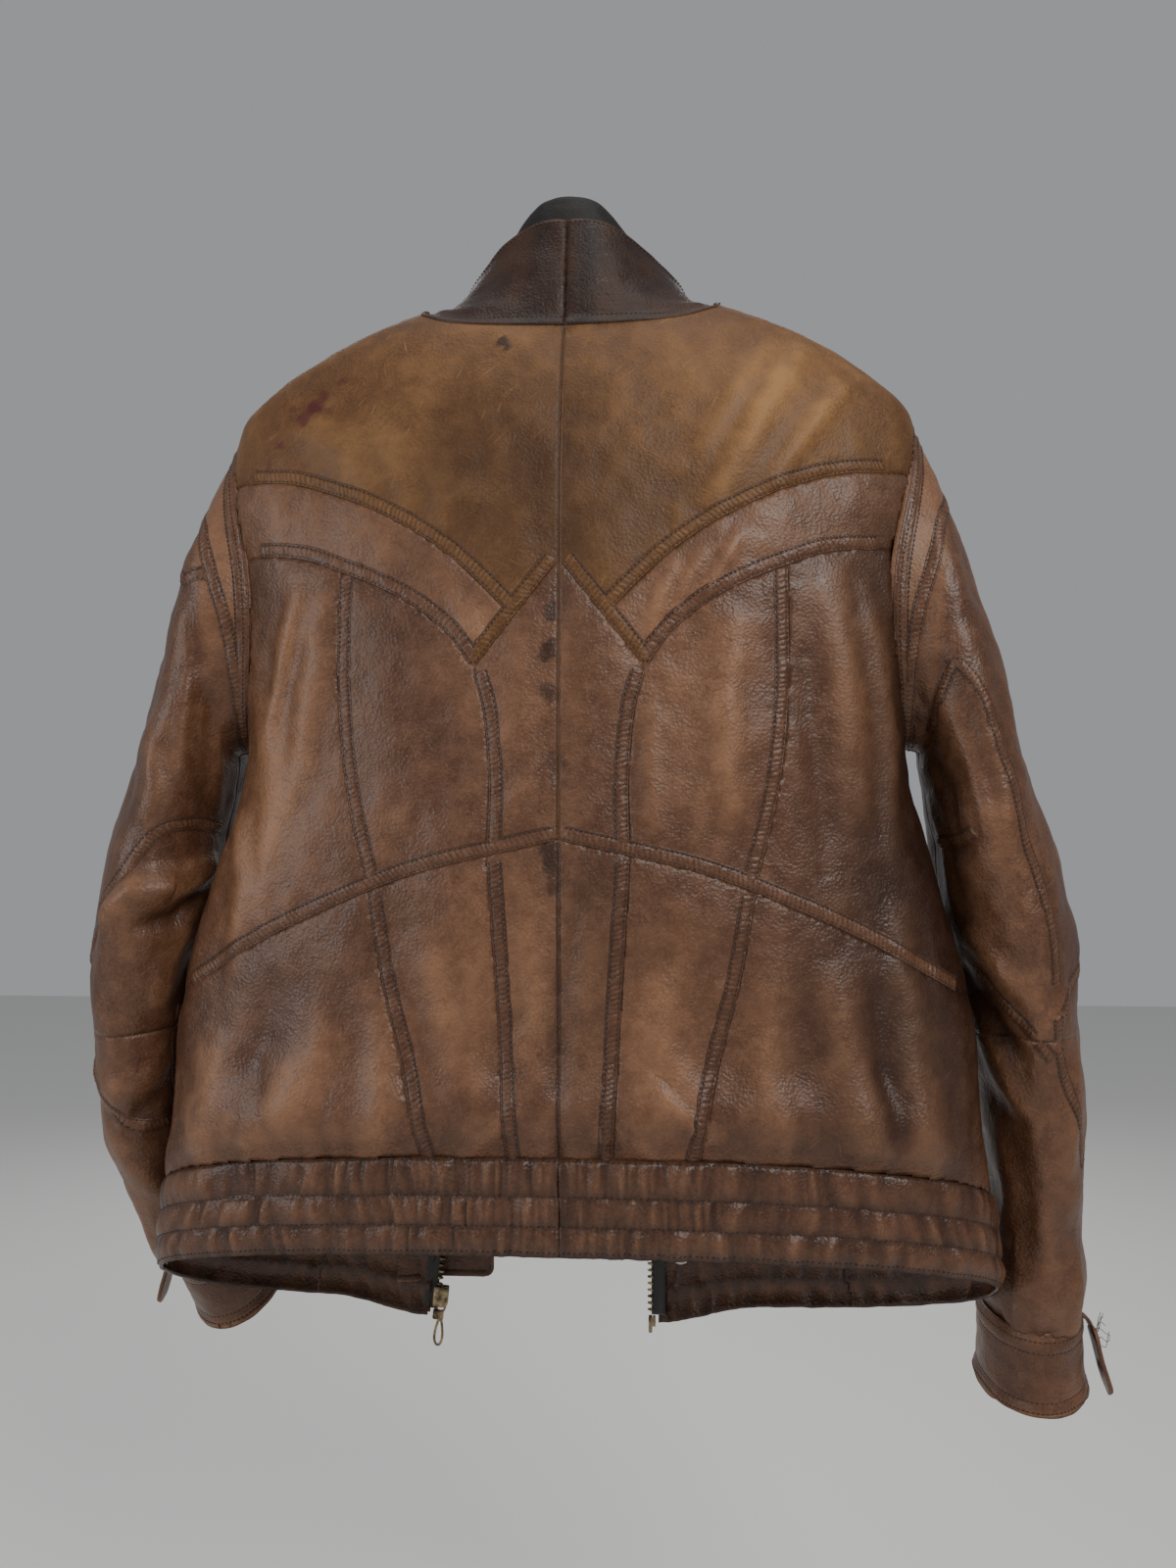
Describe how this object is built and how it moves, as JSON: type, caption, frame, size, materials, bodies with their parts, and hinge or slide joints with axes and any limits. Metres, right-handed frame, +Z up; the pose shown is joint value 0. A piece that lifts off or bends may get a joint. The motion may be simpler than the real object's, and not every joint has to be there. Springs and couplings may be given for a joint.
{
  "type": "leather riding jacket",
  "caption": "Short brown leather riding jacket hanging with its front zip undone: panelled back, curved yoke, stand collar, gathered waistband and strapped cuffs.",
  "frame": {"origin": "middle of the neck opening, level with the collar seam at the centre back, where a hanger's stem comes out", "axes": "+Z up, the jacket's front faces -Y, +X is the wearer's left"},
  "size_m": [0.7456, 0.2751, 0.8556],
  "materials": {
    "body_leather": "worn semi-gloss",
    "yoke_leather": "worn and scuffed",
    "dark_facing": "matte",
    "lining_cloth": "satin weave",
    "elastic": "ribbed",
    "zip_tape": "woven",
    "aged_brass": "tarnished",
    "snap_metal": "worn plating"
  },
  "bodies": {
    "torso": {"back_yoke_left": "yoke_leather", "back_yoke_right": "yoke_leather", "body_lining": "lining_cloth", "centre_back_left": "body_leather", "centre_back_right": "body_leather", "collar_facing": "dark_facing", "collar_left": "body_leather", "collar_right": "body_leather", "front_side_left": "body_leather", "front_side_right": "body_leather", "front_yoke_left": "yoke_leather", "front_yoke_right": "yoke_leather", "hanger_loop": "dark_facing", "lower_back_left": "body_leather", "lower_back_right": "body_leather", "lower_centre_left": "body_leather", "lower_centre_right": "body_leather", "lower_side_left": "body_leather", "lower_side_right": "body_leather", "mid_back_left": "body_leather", "mid_back_right": "body_leather", "side_back_left": "body_leather", "side_back_right": "body_leather", "waist_elastic": "elastic", "waistband_left": "body_leather", "waistband_right": "body_leather", "yoke_band_left": "yoke_leather", "yoke_band_right": "yoke_leather"},
    "left_front": {"front_panel_left": "body_leather", "front_facing_left": "lining_cloth", "waistband_front_left": "body_leather", "snap_socket": "snap_metal", "zip_tape_left": "zip_tape", "zip_teeth_left": "aged_brass", "zip_box": "aged_brass"},
    "right_front": {"front_panel_right": "body_leather", "front_facing_right": "lining_cloth", "waistband_front_right": "body_leather", "snap_stud": "snap_metal", "zip_tape_right": "zip_tape", "zip_teeth_right": "aged_brass", "zip_pin": "aged_brass"},
    "zip_slider": {"zip_slider": "aged_brass"},
    "zip_pull": {"zip_pull": "aged_brass"},
    "left_sleeve": {"sleeve_back_left": "body_leather", "sleeve_front_left": "body_leather", "sleeve_lining_left": "lining_cloth"},
    "left_forearm": {"forearm_back_left": "body_leather", "forearm_front_left": "body_leather", "forearm_lining_left": "lining_cloth", "cuff_left": "body_leather"},
    "left_strap": {"cuff_strap_left": "body_leather"},
    "right_sleeve": {"sleeve_back_right": "body_leather", "sleeve_front_right": "body_leather", "sleeve_lining_right": "lining_cloth"},
    "right_forearm": {"forearm_back_right": "body_leather", "forearm_front_right": "body_leather", "forearm_lining_right": "lining_cloth", "cuff_right": "body_leather"},
    "right_strap": {"cuff_strap_right": "body_leather"}
  },
  "joints": [
    {"name": "left_front_open", "type": "hinge", "parent": "torso", "child": "left_front", "pos_m": [0.1358, -0.0912, -0.4], "axis": [-0.2269, -0.0205, 0.9737], "range_deg": [0, 60], "stiffness_Nm_per_rad": 0.15},
    {"name": "right_front_open", "type": "hinge", "parent": "torso", "child": "right_front", "pos_m": [-0.1358, -0.0912, -0.4], "axis": [-0.2269, 0.0205, -0.9737], "range_deg": [0, 60], "stiffness_Nm_per_rad": 0.15},
    {"name": "zip_slide", "type": "slide", "parent": "left_front", "child": "zip_slider", "axis": [-0.0939, 0, 0.9956], "range_m": [0, 0.6]},
    {"name": "zip_pull_swing", "type": "hinge", "parent": "zip_slider", "child": "zip_pull", "pos_m": [0.11087, -0.1012, -0.71216], "axis": [-0.9956, 0, -0.0939], "range_deg": [0, 100]},
    {"name": "left_sleeve_raise", "type": "hinge", "parent": "torso", "child": "left_sleeve", "pos_m": [0.212, 0, -0.052], "axis": [0, -1, 0], "range_deg": [0, 70]},
    {"name": "left_elbow_bend", "type": "hinge", "parent": "left_sleeve", "child": "left_forearm", "pos_m": [0.315, -0.1035, -0.4566], "axis": [-1, 0, 0], "range_deg": [0, 70], "stiffness_Nm_per_rad": 1.2, "springref_deg": -8.59},
    {"name": "right_sleeve_raise", "type": "hinge", "parent": "torso", "child": "right_sleeve", "pos_m": [-0.212, 0, -0.052], "axis": [0, 1, 0], "range_deg": [0, 70]},
    {"name": "right_elbow_bend", "type": "hinge", "parent": "right_sleeve", "child": "right_forearm", "pos_m": [-0.315, -0.1035, -0.4566], "axis": [-1, 0, 0], "range_deg": [0, 70], "stiffness_Nm_per_rad": 1.2, "springref_deg": -8.59},
    {"name": "left_strap_swing", "type": "hinge", "parent": "left_forearm", "child": "left_strap", "pos_m": [0.3315, -0.112, -0.68], "axis": [0, -1, 0], "range_deg": [0, 80]},
    {"name": "right_strap_swing", "type": "hinge", "parent": "right_forearm", "child": "right_strap", "pos_m": [-0.3725, -0.05, -0.704], "axis": [0, 1, 0], "range_deg": [0, 80]}
  ]
}
